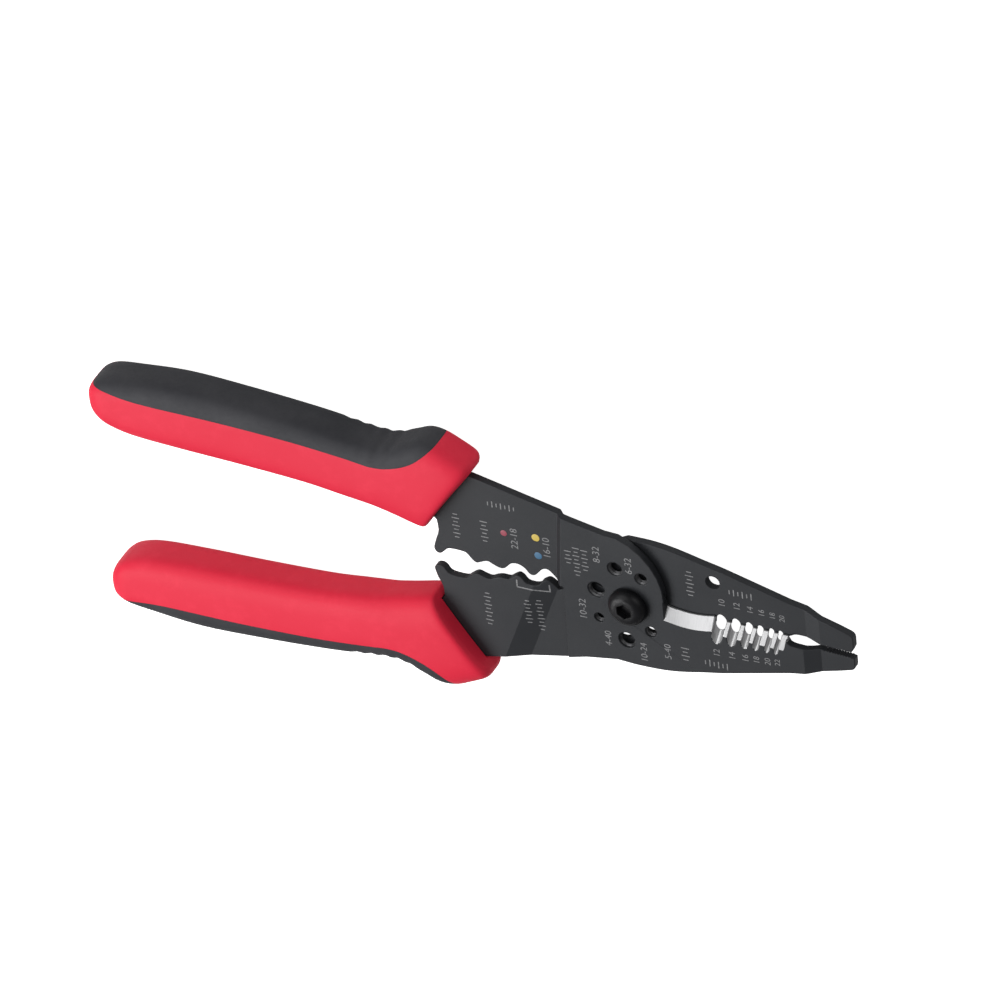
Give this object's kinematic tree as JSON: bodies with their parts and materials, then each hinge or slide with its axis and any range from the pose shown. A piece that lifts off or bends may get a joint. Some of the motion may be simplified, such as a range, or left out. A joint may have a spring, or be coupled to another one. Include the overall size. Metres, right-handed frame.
{
  "type": "wire stripper",
  "caption": "Hand tool for stripping, cutting and crimping wire: two pivoted black steel plates with a plier nose and red and black grips.",
  "frame": {"origin": "on the pivot axis at the end face of the pivot screw, level with the surface that the tool lies on", "axes": "+X from the pivot to the nose, +Y towards the upper handle, +Z out of the front face"},
  "size_m": [0.2176, 0.0794, 0.014],
  "materials": {
    "black_steel": "fine matt black oxide",
    "screw_steel": "black oxide, slightly glossy",
    "red_grip": "satin moulded",
    "black_pad": "fine matt texture"
  },
  "bodies": {
    "front_half": {"front_plate": "black_steel", "upper_grip_body": "red_grip", "upper_grip_pad": "black_pad", "pivot_screw": "screw_steel", "pivot_washer": "screw_steel", "pivot_nut": "screw_steel"},
    "rear_half": {"rear_plate": "black_steel", "lower_grip_body": "red_grip", "lower_grip_pad": "black_pad"}
  },
  "joints": [
    {"name": "jaw_pivot", "type": "hinge", "parent": "front_half", "child": "rear_half", "pos_m": [0, 0, 0.007], "axis": [0, 0, 1], "range_deg": [-1.2, 18]}
  ]
}
